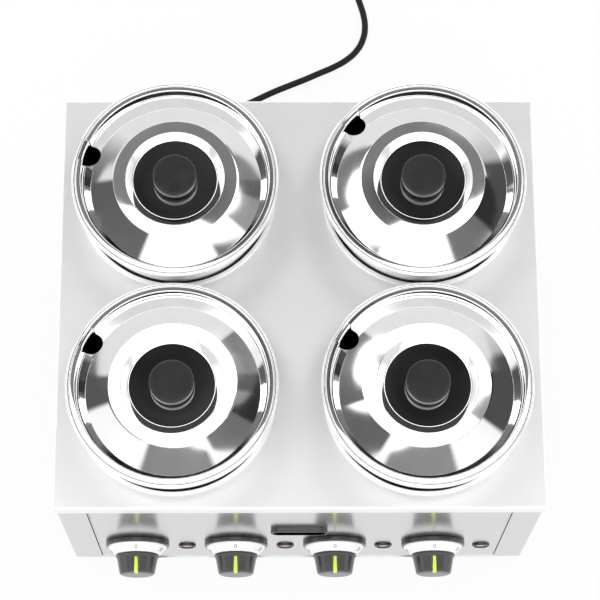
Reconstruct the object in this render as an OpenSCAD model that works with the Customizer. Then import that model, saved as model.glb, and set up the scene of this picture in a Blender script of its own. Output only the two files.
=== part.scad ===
// Four-pot bain-marie (round soup kettles in one electric base).
// X runs across the front, Y runs from the front to the back, Z is up.
// The origin is on the surface that the feet stand on, under the middle of the whole
// object, the knobs included and the mains lead left out.

/* [Body] */
// Width of the deck, over its folded edges
body_w = 400; // [380:1:520]
// Depth of the deck, over its folded edges
body_d = 357; // [357:1:460]
// Height of the body, from its underside to the top of the deck
body_h = 200; // [190:1:260]
// Thickness of the body's sheet steel
sheet = 1; // [0.8:0.1:1.5]
// Height of the deck's folded edge
deck_lip = 14; // [8:1:25]
// How far the deck stands out over the panels below it
deck_overhang = 1.8; // [1.6:0.1:4]
// Width of the shell's folded returns at both ends of the control panel
front_return = 24; // [15:1:40]
// Height of the raised collar round each hole in the deck
collar_h = 4; // [2:0.5:8]

/* [Feet] */
// Height of the feet
foot_h = 18; // [8:1:30]
// Diameter of a foot where it stands
foot_d = 26; // [18:1:40]
// Distance of a foot's axis from the deck's edges
foot_inset = 38; // [30:1:60]

/* [Pots] */
// Outside diameter of a pot
pot_d = 158; // [120:1:160]
// Thickness of a pot's steel
pot_wall = 0.8; // [0.6:0.1:1.2]
// How far a pot's rim stands above the deck
pot_stand = 39; // [25:1:60]
// Width of a pot's rim, from its wall to its rolled edge
pot_rim = 5.8; // [4:0.1:10]
// Distance between the pots' axes across the front
pitch_x = 205.6; // [180:0.1:250]
// Distance between the pots' axes from front to back
pitch_y = 177; // [176:0.1:220]
// How far the pots stand behind the middle of the deck
row_shift = 4; // [0:0.5:4]

/* [Lids] */
// Thickness of a lid's steel
lid_wall = 0.8; // [0.6:0.1:1.2]
// How far a lid's groove drops inside the pot
lid_drop = 12; // [8:0.5:20]
// Diameter of the crease between a lid's dome and its inner ring
lid_ring_d = 101; // [90:1:120]
// Diameter of the dish in the middle of a lid
lid_dish_d = 81; // [60:1:88]
// Diameter of a lid's knob
lid_knob_d = 36; // [26:1:44]
// Width of the ladle notch
notch_w = 18; // [12:1:26]
// Distance from a lid's axis to the inner end of its ladle notch
notch_reach = 66; // [58:1:70]

/* [Controls] */
// Distance between neighbouring knobs, and between neighbouring lamps
control_pitch = 85.2; // [75:0.1:100]
// Distance from a knob to the lamp at its right
lamp_offset = 42.5; // [38:0.5:50]
// How far the row of knobs and lamps is off the middle, towards the right
control_shift = 9.6; // [-10:0.1:12]
// Height of the knobs above the body's underside
control_h = 62; // [55:0.5:80]
// How far the lamps are below the knobs
lamp_drop = 11; // [0:0.5:16]
// Diameter of the black ring behind a knob
bezel_d = 55; // [48:0.5:60]
// Thickness of the black ring behind a knob
bezel_t = 4.2; // [3:0.1:8]
// Depth of the light cone that carries the scale
dial_t = 7; // [5:0.5:12]
// Diameter of a knob at its wide end
knob_d = 37.4; // [30:0.1:42]
// Length of a knob
knob_l = 17; // [14:0.5:30]
// Diameter of a thermostat spindle
spindle_d = 6; // [5:0.1:8]
// Diameter of a pilot lamp's bezel
lamp_d = 15.5; // [12:0.5:20]
// Width of the blank badge
badge_w = 48; // [30:1:70]
// Height of the blank badge
badge_h = 14; // [8:1:20]

/* [Mains lead] */
// Diameter of the mains lead
cord_d = 6.2; // [6:0.1:8]
// Diameter of the coil, at the middle of its turns
coil_d = 74; // [66:1:90]
// Diameter of the plug's round face
plug_d = 36; // [32:1:40]

/* [Hidden] */
$fn = 96;
eps = 0.01;

// Named clearances
pot_clear = 1;       // between a pot and the collar or well round it
seat_gap = 0.3;      // under a pot or a lid where it rests
rim_gap = 0.4;       // between a pot's rolled edge and the lid's turned-down edge
groove_gap = 0.8;    // between the lid's groove and the pot's inside
seam = 0.4;          // between the control panel and the shell's returns
spindle_clear = 0.05; // between a spindle and its bush
knob_gap = 0.5;      // between a knob and the cone behind it
screw_clear = 0.2;   // between a screw and its hole
well_room = 2.4;     // between a thermostat and the well above it

places = ["back_left", "back_right", "front_left", "front_right"];
side_of = [-1, 1, -1, 1];
row_of = [1, 1, -1, -1];
notch_angle = [162, 138, 151, 148];

// Levels and places
deck_z = foot_h + body_h;
knob_top = bezel_t + dial_t + knob_gap + knob_l;
deck_y = (knob_top - deck_overhang) / 2;
wall_x = body_w / 2 - deck_overhang;
wall_y = body_d / 2 - deck_overhang;
panel_y = deck_y - wall_y;
back_y = deck_y + wall_y;
control_z = foot_h + control_h;
lamp_z = control_z - lamp_drop;
panel_edge = wall_x - front_return - seam;

function pot_x(i) = side_of[i] * pitch_x / 2;
function pot_y(i) = deck_y + row_shift + row_of[i] * pitch_y / 2;
function knob_x(n) = control_shift + (n - 2.5) * control_pitch - lamp_offset / 2;
function lamp_x(n) = knob_x(n) + lamp_offset;

// Pots and lids, heights above the deck
pot_r = pot_d / 2;
rim_r = pot_r + pot_rim;
collar_r = pot_r + pot_clear;
well_wall = 0.8;
well_lip = 1.6;
thermostat_h = 24;
// The pots hang as deep as the thermostats under them allow
well_floor = control_h + thermostat_h / 2 + well_room + well_wall - body_h;
pot_floor = well_floor + seat_gap;
lid_r = rim_r + rim_gap + lid_wall;
lid_top = pot_stand + seat_gap + lid_wall;
groove_r = pot_r - pot_wall - groove_gap;
ring_rise = 2.4;
dome_rise = lid_drop - 0.9 - ring_rise;
dish_drop = 6.6;
dish_z = lid_top - 1 - dish_drop;

// ---- Outlines ----

function unit(v) = v / norm(v);
function left_of(v) = [-v.y, v.x];
function arc(centre, r, from, to, steps) =
    [for (k = [0:steps]) let (a = from + (to - from) * k / steps) centre + r * [cos(a), sin(a)]];

// Side step at point i of a line p, long enough to keep an even thickness round a bend
function side_step(p, i) = let (
        last = len(p) - 1,
        before = left_of(unit(i == 0 ? p[1] - p[0] : p[i] - p[i - 1])),
        after = left_of(unit(i == last ? p[last] - p[last - 1] : p[i + 1] - p[i])),
        middle = unit(before + after)
    ) middle / (middle * before);

// Outline of a sheet of thickness t that follows the line p
function sheet_along(p, t) = concat(
    [for (i = [0:len(p) - 1]) p[i] + side_step(p, i) * t / 2],
    [for (i = [len(p) - 1:-1:0]) p[i] - side_step(p, i) * t / 2]
);

module spun_sheet(p, t) {
    rotate_extrude() polygon(sheet_along(p, t));
}

// A ring whose section is a circle
module bead(ring_r, z, r) {
    rotate_extrude() translate([ring_r, z]) circle(r, $fn = 24);
}

// A box between two corners
module block(low, high) {
    translate(low) cube(high - low);
}

// Local Z points out of the front, and local Y points up
module on_panel(x, z = control_z) {
    translate([x, panel_y, z]) rotate([90, 0, 0]) children();
}

module at_pot(i) {
    translate([pot_x(i), pot_y(i), deck_z]) children();
}

// ---- Body ----

module collar() {
    fillet = 2.4;
    inner = collar_r;
    outer = collar_r + sheet;
    rotate_extrude() polygon(concat(
        [[inner, -sheet], [inner, collar_h], [outer, collar_h]],
        arc([outer + fillet, fillet], fillet, 180, 270, 5),
        [[outer + fillet, -sheet]]
    ));
}

module deck() {
    color("gainsboro") difference() {
        union() {
            difference() {
                block([-body_w / 2, deck_y - body_d / 2, deck_z - deck_lip],
                      [body_w / 2, deck_y + body_d / 2, deck_z]);
                block([-body_w / 2 + sheet, deck_y - body_d / 2 + sheet, deck_z - deck_lip - 1],
                      [body_w / 2 - sheet, deck_y + body_d / 2 - sheet, deck_z - sheet]);
            }
            for (i = [0:3]) at_pot(i) collar();
        }
        for (i = [0:3]) at_pot(i) translate([0, 0, -2 * sheet])
            cylinder(r = collar_r, h = 2 * sheet + collar_h + 1);
    }
}

flange = 12;         // the shell's inward fold, which the base plate is screwed to
panel_fold = 5;      // the control panel's inward folds, which clear the wells
gland_x = -165;
gland_z = foot_h + 34;
gland_hole = 12.4;

module shell_outline(inset) {
    difference() {
        translate([-wall_x + inset, panel_y + inset]) square([2 * (wall_x - inset), 2 * (wall_y - inset)]);
        children();
    }
}

// Two sides, the back and the returns at the front, folded from one sheet
module shell() {
    color("silver") difference() {
        union() {
            translate([0, 0, foot_h]) linear_extrude(body_h - sheet) difference() {
                shell_outline(0);
                shell_outline(sheet);
                translate([-wall_x + front_return, panel_y - 1])
                    square([2 * (wall_x - front_return), sheet + 2]);
            }
            // Bottom flange
            translate([0, 0, foot_h + sheet]) linear_extrude(sheet) difference() {
                shell_outline(sheet / 2);
                translate([-wall_x + flange, panel_y - 1])
                    square([2 * (wall_x - flange), 2 * wall_y - flange + 1]);
            }
        }
        translate([gland_x, back_y + 1, gland_z]) rotate([90, 0, 0]) cylinder(d = gland_hole, h = sheet + 2);
        for (at = base_screws) translate([at.x, at.y, foot_h])
            cylinder(d = screw_d + 2 * screw_clear, h = 3 * sheet);
    }
}

bush_d = 10;
lamp_neck_d = 13;

module control_panel() {
    low = foot_h;
    high = deck_z - sheet;
    color("gainsboro") difference() {
        union() {
            block([-panel_edge, panel_y, low], [panel_edge, panel_y + sheet, high]);
            block([-panel_edge, panel_y, high - sheet], [panel_edge, panel_y + panel_fold, high]);
            block([-panel_edge, panel_y, low], [panel_edge, panel_y + panel_fold, low + sheet]);
        }
        for (n = [1:4]) {
            on_panel(knob_x(n)) translate([0, 0, -2 * sheet])
                cylinder(d = bush_d + 2 * screw_clear, h = 3 * sheet);
            on_panel(lamp_x(n), lamp_z) translate([0, 0, -2 * sheet])
                cylinder(d = lamp_neck_d + 2 * screw_clear, h = 3 * sheet);
        }
    }
}

screw_d = 4;
foot_x = body_w / 2 - foot_inset;
foot_y = body_d / 2 - foot_inset;
foot_places = [for (sx = [-1, 1], sy = [-1, 1]) [sx * foot_x, deck_y + sy * foot_y]];
screw_inset = flange / 2 + sheet / 2;
base_screws = [for (sx = [-1, 1], sy = [-0.6, 0, 0.6]) [sx * (wall_x - screw_inset), deck_y + sy * wall_y]];
slot_l = 50;
slot_w = 4;
slot_gap = 12;

module base_plate() {
    side = wall_x - sheet - seam;
    back = back_y - sheet - seam;
    front = panel_y + panel_fold + seam;
    tab = panel_y + sheet + seam;
    color("lightgray") difference() {
        union() {
            block([-side, front, foot_h], [side, back, foot_h + sheet]);
            // Tabs that close the corners behind the shell's returns
            for (end = [-1, 1])
                translate([end * (side + panel_edge + seam) / 2, (front + tab) / 2, foot_h + sheet / 2])
                cube([side - panel_edge - seam, front - tab + 2 * eps, sheet], center = true);
        }
        // Cooling slots under each heater
        for (i = [0:3], k = [-2:2])
            translate([pot_x(i) - slot_l / 2, pot_y(i) + k * slot_gap - slot_w / 2, foot_h - 1])
                cube([slot_l, slot_w, sheet + 2]);
        for (at = concat(base_screws, foot_places))
            translate([at.x, at.y, foot_h - 1]) cylinder(d = screw_d + 2 * screw_clear, h = sheet + 2);
    }
}

foot_recess_d = 11;
foot_floor = 5;      // rubber left above the recess for the screw's head

module feet() {
    color("#202020") for (at = foot_places) translate([at.x, at.y, 0]) difference() {
        cylinder(d1 = foot_d, d2 = foot_d + 4, h = foot_h);
        translate([0, 0, -1]) cylinder(d = foot_recess_d, h = foot_h - foot_floor + 1);
        cylinder(d = screw_d + 2 * screw_clear, h = foot_h + 1);
    }
}

head_d = 7.6;
head_h = 2.6;

// A pan-head screw that points up, with its head's underside at z = 0
module screw(length) {
    cylinder(d = screw_d, h = length);
    translate([0, 0, -head_h]) cylinder(d1 = head_d - 1.6, d2 = head_d, h = head_h);
}

nut_h = 3.2;

module screws() {
    color("silver") {
        for (at = foot_places) translate([at.x, at.y, foot_h - foot_floor]) {
            screw(foot_floor + sheet + nut_h + 1);
            translate([0, 0, foot_floor + sheet]) cylinder(d = head_d, h = nut_h, $fn = 6);
        }
        for (at = base_screws) translate([at.x, at.y, foot_h]) screw(8);
    }
}

badge_t = 3.8;
badge_z = deck_z - 86;

module badge() {
    color("#303030") on_panel(0, badge_z) linear_extrude(badge_t) {
        square([badge_w - badge_h, badge_h], center = true);
        for (side = [-1, 1]) translate([side * (badge_w - badge_h) / 2, 0]) circle(d = badge_h);
    }
}

// ---- Wells and heaters ----

module well(i) {
    corner = 10;
    r = collar_r + well_wall / 2;
    top = -sheet - well_wall / 2;
    bottom = well_floor - well_wall / 2;
    color("darkgray") at_pot(i) spun_sheet(concat(
        [[0, bottom]],
        arc([r - corner, bottom + corner], corner, -90, 0, 6),
        [[r, top], [r + well_wall / 2 + well_lip, top]]
    ), well_wall);
}

heater_r = 56;
heater_t = 5;
element_r = 4;

module heater(i) {
    top = well_floor - well_wall;
    color("dimgray") at_pot(i) {
        translate([0, 0, top - heater_t]) cylinder(r = heater_r, h = heater_t);
        bead(heater_r - 12, top - heater_t, element_r);
        for (side = [-1, 1]) translate([side * 12, heater_r - 12, top - heater_t - 16])
            cylinder(r = 2.2, h = 16);
        translate([0, 0, top - heater_t - nut_h]) cylinder(d = 10, h = nut_h, $fn = 6);
    }
}

// ---- Pots and lids ----

module pot(i) {
    corner = 9;
    bead_r = 1.3;
    lip_r = 1.5;
    r = pot_r - pot_wall / 2;
    bottom = pot_floor + pot_wall / 2;
    top = pot_stand - pot_wall / 2;
    color("silver") at_pot(i) {
        spun_sheet(concat(
            [[0, bottom]],
            arc([r - corner, bottom + corner], corner, -90, 0, 6),
            arc([r + lip_r, top - lip_r], lip_r, 180, 90, 4),
            [[rim_r - bead_r, top]]
        ), pot_wall);
        bead(rim_r - bead_r, pot_stand - bead_r, bead_r);
    }
}

shank_d = 4;
dish_r = lid_dish_d / 2;
ring_r = lid_ring_d / 2;

module lid(i) {
    t = lid_wall;
    top = lid_top - t / 2;
    groove_z = top - lid_drop;
    crease_z = groove_z + dome_rise;
    dish_edge = crease_z + ring_rise;
    edge_r = 1;
    turned = 1.6;
    // The dome bulges a little above the straight line from the groove to the crease
    dome = [for (k = [1:5]) let (s = k / 6)
        [ring_r + (groove_r - 1.5 - ring_r) * s,
         crease_z - dome_rise * s + 1.1 * sin(180 * s)]];
    line = concat(
        [[0, dish_z - 0.8], [dish_r * 0.2, dish_z - 0.8], [dish_r * 0.5, dish_z - 0.5],
            [dish_r - 6, dish_z + 0.4], [dish_r - 3.2, dish_z + 1.6]],
        [[dish_r - 1.4, dish_edge - 0.6], [dish_r, dish_edge]],
        [[ring_r - 0.8, crease_z + 0.2], [ring_r, crease_z - 0.4]],
        dome,
        [[groove_r - 1.6, groove_z], [groove_r - t / 2, groove_z + 1.2]],
        arc([groove_r - t / 2 + 1.5, top - 1.5], 1.5, 180, 90, 3),
        arc([lid_r - t / 2 - edge_r, top - edge_r], edge_r, 90, 0, 3),
        [[lid_r - t / 2, top - edge_r - turned]]
    );
    color("gainsboro") at_pot(i) difference() {
        spun_sheet(line, t);
        translate([0, 0, dish_z - 5]) cylinder(d = shank_d + 2 * screw_clear, h = 10);
        rotate(notch_angle[i]) translate([notch_reach + notch_w / 2, 0, lid_top - lid_drop - 5]) {
            cylinder(d = notch_w, h = lid_drop + 10);
            translate([0, -notch_w / 2, 0]) cube([lid_r, notch_w, lid_drop + 10]);
        }
    }
}

lid_knob_h = 15;
lid_knob_z = dish_z - 0.8 + lid_wall / 2 + 0.2;

module lid_knob(i) {
    r = lid_knob_d / 2;
    neck = 9;
    color("#181818") at_pot(i) translate([0, 0, lid_knob_z]) difference() {
        rotate_extrude() polygon(concat(
            [[0, 0], [neck + 2, 0], [neck, 2], [neck, 5]],
            arc([r - 3, 8.4], 3, -60, 0, 3),
            arc([r - 2.6, lid_knob_h - 3.2], 2.6, 0, 80, 5),
            [[r - 4, lid_knob_h - 0.5], [r / 2, lid_knob_h], [0, lid_knob_h]]
        ));
        translate([0, 0, -1]) cylinder(d = shank_d + 2 * screw_clear, h = 11);
    }
}

module lid_screw(i) {
    washer_t = 1;
    under = dish_z - 0.8 - lid_wall / 2 - 0.1;
    color("silver") at_pot(i) translate([0, 0, under]) {
        translate([0, 0, -washer_t]) cylinder(d = 12, h = washer_t);
        translate([0, 0, -washer_t - head_h]) cylinder(d1 = head_d - 1.6, d2 = head_d, h = head_h);
        cylinder(d = shank_d, h = 9);
    }
}

// ---- Controls ----

module bezel_rings() {
    color("#151515") for (n = [1:4]) on_panel(knob_x(n)) rotate_extrude() polygon([
        [dial_hole, 0], [bezel_d / 2 - 0.6, 0], [bezel_d / 2, 0.8], [bezel_d / 2, bezel_t - 1.2],
        [bezel_d / 2 - 1.4, bezel_t], [dial_hole, bezel_t]
    ]);
}

dial_hole = 9.5;
dial_r = bezel_d / 2 - 2.2;

module dials() {
    wall = 1.4;
    tip = knob_d / 2 + 0.4;
    color("whitesmoke") for (n = [1:4]) on_panel(knob_x(n)) translate([0, 0, bezel_t]) rotate_extrude()
        polygon([
        [dial_hole, 0], [dial_r, 0], [dial_r, 0.6], [tip, dial_t], [dial_hole, dial_t],
        [dial_hole, dial_t - wall], [tip - wall, dial_t - wall], [dial_r - 2 * wall, wall], [dial_hole, wall]
    ]);
}

thermostat_w = 44;
thermostat_l = 24;
bush_l = 5;

module thermostat(n) {
    bore = spindle_d + 2 * spindle_clear;
    color("tan") on_panel(knob_x(n)) difference() {
        union() {
            translate([-thermostat_w / 2, -thermostat_h / 2, -sheet - thermostat_l])
                cube([thermostat_w, thermostat_h, thermostat_l]);
            translate([0, 0, -sheet - eps]) cylinder(d = bush_d, h = sheet + bush_l);
            translate([0, 0, 0.2]) cylinder(d = 14, h = nut_h, $fn = 6);
            for (side = [-1, 1]) translate([side * 12 - 3, thermostat_h / 2 - 6, -sheet - thermostat_l - 8])
                cube([6, 0.8, 8 + eps]);
        }
        translate([0, 0, -sheet - thermostat_l / 2]) cylinder(d = bore, h = thermostat_l);
    }
}

spindle_tip = knob_top - 5;
spindle_root = sheet + thermostat_l / 2 - 0.5;
flat_depth = 1;

module spindle(n) {
    color("silver") on_panel(knob_x(n)) difference() {
        translate([0, 0, -spindle_root]) cylinder(d = spindle_d, h = spindle_root + spindle_tip);
        translate([-spindle_d, spindle_d / 2 - flat_depth, bush_l + 6])
            cube([2 * spindle_d, spindle_d, spindle_tip]);
    }
}

knob_base = bezel_t + dial_t + knob_gap;
knob_front_d = 0.8 * knob_d;
knob_edge = 2.4;

// Side of the knob from its back to its front, as radius and distance from the panel
function knob_side() = concat(
    [[knob_d / 2, knob_base], [knob_d / 2, knob_base + 1], [knob_d / 2 - 1, knob_base + 2.2]],
    arc([knob_front_d / 2 - knob_edge, knob_top - 0.6 - knob_edge], knob_edge, 8, 82, 4)
);

pointer_w = 3.2;
pointer_proud = 0.35;
pointer_sunk = 0.9;

// The pointer's bar, on top of the knob and over its front edge
module pointer_bar(grow = 0) {
    side = knob_side();
    start = [knob_d / 2 - 1.3, knob_base + 3.8];
    line = concat([start], [for (k = [3:7]) side[k]], [[knob_front_d / 2 - 6, knob_top - 0.3]]);
    middle = [for (i = [0:len(line) - 1]) line[i] - side_step(line, i) * (pointer_proud - pointer_sunk) / 2];
    t = pointer_proud + pointer_sunk + 2 * grow;
    rotate([90, 0, 90]) translate([0, 0, -pointer_w / 2 - grow])
        linear_extrude(pointer_w + 2 * grow) polygon(sheet_along(middle, t));
}

module knob(n) {
    color("#262626") on_panel(knob_x(n)) difference() {
        rotate_extrude() polygon(concat(
            [[0, knob_base]], knob_side(), [[knob_front_d / 2 - 6, knob_top], [0, knob_top]]
        ));
        translate([0, 0, knob_base - 1]) cylinder(d = spindle_d + 2 * spindle_clear, h = knob_l - 4 + eps);
        pointer_bar(spindle_clear);
    }
}

module pointer(n) {
    color("#d8e35a") on_panel(knob_x(n)) pointer_bar();
}

lamp_t = 3;

module lamp_bezels() {
    color("#151515") for (n = [1:4]) on_panel(lamp_x(n), lamp_z) difference() {
        union() {
            cylinder(d1 = lamp_d, d2 = lamp_d - 1.6, h = lamp_t - 1);
            translate([0, 0, -sheet - 16]) cylinder(d = lamp_neck_d, h = sheet + 17);
        }
        translate([0, 0, -sheet - 12]) cylinder(d = lens_d + 2 * screw_clear, h = 24);
        translate([0, 0, -sheet - 20]) cylinder(d = 5, h = 24);
    }
}

lens_d = 10.4;

module lamp_lenses() {
    color("tomato") for (n = [1:4]) on_panel(lamp_x(n), lamp_z) {
        translate([0, 0, -sheet - 11]) cylinder(d = lens_d, h = sheet + 11 + lamp_t - 1);
        translate([0, 0, lamp_t - 1]) cylinder(d1 = lens_d, d2 = lens_d - 2.4, h = 1);
    }
}

module terminal_block() {
    color("ivory") translate([gland_x + 20, back_y - 62, foot_h + sheet]) difference() {
        cube([44, 22, 18]);
        for (k = [0:2]) translate([9 + 13 * k, 11, 8]) cylinder(d = 5, h = 12);
    }
}

// ---- Mains lead ----

cord_r = cord_d / 2;
gland_l = 32.2;
tie_t = 1;

// From the tip of the strain relief down to the table and along it to the coil
lead_route = [
    [-165, 222, 52], [-165, 232, 51.6], [-164.5, 242, 49.6], [-162.5, 251, 45.8], [-158.5, 259, 40.4],
    [-152, 266, 34], [-143, 271.5, 27.2], [-132, 275, 20.6], [-119.5, 276.5, 14.6], [-106, 276, 9.6],
    [-92, 274.5, 6], [-77, 273.5, 3.9], [-62, 275.5, 3.1], [-48, 281, 3.1], [-35, 287.5, 3.1],
    [-22, 294, 3.1], [-6, 301, 3.1], [8, 307, 3.1], [22, 313.5, 3.1], [36, 320, 3.1], [49, 328, 3.1],
    [59, 338, 3.1], [65, 350, 3.1], [67, 362, 3.1], [66, 374, 3.1], [63, 386, 3.1], [59, 398, 3.1],
    [55, 410, 3.1], [53, 422, 3.1], [52, 434, 3.5], [52, 446, 4.1]
];
// From the coil to the back of the plug
tail_route = [
    [9, 486, 9.5], [-5, 486, 10.2], [-18, 486, 12.4], [-30, 486, 15.4], [-42, 486, 17.6], [-54, 486, 18.2]
];
coil_x = 9;
coil_y = 446;

// Rings of eight points round a route, square to it
function route_way(p, i) = unit(p[min(i + 1, len(p) - 1)] - p[max(i - 1, 0)]);
function ring_at(p, i, r) = let (
        way = route_way(p, i),
        across = unit(cross(way, [0, 0, 1])),
        up = cross(across, way)
    ) [for (k = [0:7]) p[i] + r * (cos(45 * k + 22.5) * across + sin(45 * k + 22.5) * up)];

module tube(p, r) {
    n = len(p);
    points = [for (i = [0:n - 1]) each ring_at(p, i, r)];
    faces = concat(
        [[for (k = [0:7]) k]],
        [for (i = [0:n - 2], k = [0:7])
            [8 * i + k, 8 * i + 8 + k, 8 * i + 8 + (k + 1) % 8, 8 * i + (k + 1) % 8]],
        [[for (k = [7:-1:0]) 8 * (n - 1) + k]]
    );
    polyhedron(points, faces, convexity = 10);
}

module cord_gland() {
    color("#151515") translate([gland_x, back_y, gland_z]) rotate([-90, 0, 0]) rotate_extrude() polygon([
        [0, -8], [8, -8], [8, -sheet - 0.1], [gland_hole / 2 - 0.1, -sheet - 0.1],
        [gland_hole / 2 - 0.1, 0.1],
        [9, 0.1], [9, 3], [6.5, 4.5], [cord_r + 0.6, gland_l - 0.3], [0, gland_l - 0.3]
    ]);
}

module cord() {
    color("#101010") {
        tube(lead_route, cord_r);
        tube(tail_route, cord_r);
    }
}

coil_r = coil_d / 2;
coil_half = 1.5 * cord_d;
coil_h = 1.9 * cord_d;

module cord_coil() {
    c = cord_r;
    color("#101010") translate([coil_x, coil_y, tie_t]) rotate_extrude() polygon([
        [coil_r - coil_half, c * 0.6], [coil_r - coil_half + c * 0.6, 0], [coil_r + coil_half - c * 0.6, 0],
        [coil_r + coil_half, c * 0.6], [coil_r + coil_half, c * 1.6], [coil_r + coil_half - c, coil_h],
        [coil_r - coil_half + c, coil_h], [coil_r - coil_half, c * 1.6]
    ]);
}

module cord_tie() {
    tie_w = 9;
    play = 0.1;
    low = coil_r - coil_half - play;
    high = coil_r + coil_half + play;
    color("#303030") translate([coil_x, coil_y, 0]) rotate(225) difference() {
        block([low - tie_t, -tie_w / 2, 0], [high + tie_t, tie_w / 2, coil_h + 2 * tie_t + play]);
        block([low, -tie_w, tie_t - play], [high, tie_w, tie_t + coil_h + play]);
    }
}

plug_x = -54;
plug_y = 486;
plug_l = 44;
pin_d = 4.8;
pin_l = 19;
pin_gap = 19;

// A round two-pin plug that lies on its side, with its pins away from the coil
module plug() {
    r = plug_d / 2;
    color("#151515") translate([plug_x, plug_y, r + 0.2]) rotate([0, -90, 0]) {
        rotate_extrude() polygon([
            [0, 0], [cord_r + 1.4, 0], [cord_r + 2.4, 9], [11, 13], [13.5, 24], [r, 33], [r, plug_l],
            [0, plug_l]
        ]);
        for (side = [-1, 1]) translate([0, side * pin_gap / 2, plug_l - eps]) {
            cylinder(d = pin_d, h = pin_l - 1);
            translate([0, 0, pin_l - 1]) cylinder(d1 = pin_d, d2 = pin_d - 1.6, h = 1);
        }
    }
}

deck();
shell();
control_panel();
base_plate();
feet();
screws();
badge();
bezel_rings();
dials();
lamp_bezels();
lamp_lenses();
terminal_block();
cord_gland();
cord();
cord_coil();
cord_tie();
plug();
for (i = [0:3]) {
    well(i);
    heater(i);
    pot(i);
    lid(i);
    lid_knob(i);
    lid_screw(i);
}
for (n = [1:4]) {
    thermostat(n);
    spindle(n);
    knob(n);
    pointer(n);
}
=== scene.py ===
"""Looks of a four-pot bain-marie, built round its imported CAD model. All sizes are in metres."""
from math import cos, hypot, pi, radians, sin, sqrt, tan

import bmesh
import bpy
from mathutils import Matrix, Vector


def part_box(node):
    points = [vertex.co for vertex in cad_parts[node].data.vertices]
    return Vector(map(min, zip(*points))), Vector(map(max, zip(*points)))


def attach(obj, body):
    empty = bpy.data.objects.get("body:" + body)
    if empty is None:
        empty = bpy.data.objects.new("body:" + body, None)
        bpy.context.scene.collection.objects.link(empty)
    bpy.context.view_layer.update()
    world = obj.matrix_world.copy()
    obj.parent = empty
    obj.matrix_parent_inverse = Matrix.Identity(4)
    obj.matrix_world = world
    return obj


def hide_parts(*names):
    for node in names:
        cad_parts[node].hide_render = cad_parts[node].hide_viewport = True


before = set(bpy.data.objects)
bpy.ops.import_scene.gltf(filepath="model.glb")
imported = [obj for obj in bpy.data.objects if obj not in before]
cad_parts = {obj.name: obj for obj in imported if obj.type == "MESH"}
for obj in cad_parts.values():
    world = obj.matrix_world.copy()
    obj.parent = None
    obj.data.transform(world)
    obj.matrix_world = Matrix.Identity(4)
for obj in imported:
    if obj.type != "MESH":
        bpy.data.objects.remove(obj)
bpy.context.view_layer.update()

MM = 0.001
PLACES = ("back_left", "back_right", "front_left", "front_right")
NUMBERS = (1, 2, 3, 4)
UP = Vector((0, 0, 1))

# ---- Places and sizes, from the frame ----

SHEET = 0.9 * MM         # a little under the real sheet, which keeps it within the CAD piece
COLLAR_HEIGHT = 4.0 * MM
deck_low, deck_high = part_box("deck")
DECK_Z = deck_high.z - COLLAR_HEIGHT
DECK_LIP = DECK_Z - deck_low.z
shell_low, shell_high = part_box("shell")
panel_low, panel_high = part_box("control_panel")
PANEL_Y = panel_low.y
feet_low, feet_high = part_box("feet")


def middle(node):
    """Centre of a CAD node's box."""
    low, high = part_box(node)
    return (low + high) / 2


def at_pot(place):
    """From a pot's own axes, with Z at 0 on the deck, to the frame."""
    centre = middle("pot_" + place)
    return Matrix.Translation((centre.x, centre.y, DECK_Z))


def on_panel(x, z):
    """From axes whose Z points out of the front panel, and whose Y points up, to the frame."""
    return Matrix.Translation((x, PANEL_Y, z)) @ Matrix.Rotation(radians(90), 4, "X")


def knob_axis(number):
    centre = middle("knob_%d" % number)
    return on_panel(centre.x, centre.z)


def lamp_axis(number):
    """The lamps are evenly spaced between the ends of their node's box."""
    low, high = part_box("lamp_bezels")
    radius = (high.z - low.z) / 2
    share = (number - 1) / (len(NUMBERS) - 1)
    x = low.x + radius + share * (high.x - low.x - 2 * radius)
    return on_panel(x, low.z + radius)


# ---- Camera ----

camera = bpy.data.objects.new("camera", bpy.data.cameras.new("camera"))
bpy.context.scene.collection.objects.link(camera)
bpy.context.scene.camera = camera
camera.data.sensor_width = 36
camera.data.lens = 131.0
camera.data.clip_start = 0.05
camera.data.clip_end = 50
turned = Matrix.Rotation(radians(-1.564), 4, "Z")
tipped = Matrix.Rotation(radians(18.158), 4, "X")
rolled = Matrix.Rotation(radians(1.415), 4, "Z")
camera.matrix_world = Matrix.Translation((-0.01476, -0.55316, 1.94283)) @ turned @ tipped @ rolled

# ---- Shader maths ----


class Value:
    """A socket that carries a number, with the arithmetic that makes its Math nodes."""

    def __init__(self, finish, socket):
        self.finish = finish
        self.socket = socket

    def maths(self, operation, first, second=0.0, clamp=False):
        settings = {"operation": operation, "use_clamp": clamp}
        return self.finish.node("ShaderNodeMath", settings, {0: first, 1: second})

    def __add__(self, other):
        return self.maths("ADD", self, other)

    __radd__ = __add__

    def __sub__(self, other):
        return self.maths("SUBTRACT", self, other)

    def __rsub__(self, other):
        return self.maths("SUBTRACT", other, self)

    def __mul__(self, other):
        return self.maths("MULTIPLY", self, other)

    __rmul__ = __mul__

    def __truediv__(self, other):
        return self.maths("DIVIDE", self, other)

    def __pow__(self, other):
        return self.maths("POWER", self, other)

    def clamped(self):
        return self.maths("ADD", self, 0.0, clamp=True)


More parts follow.
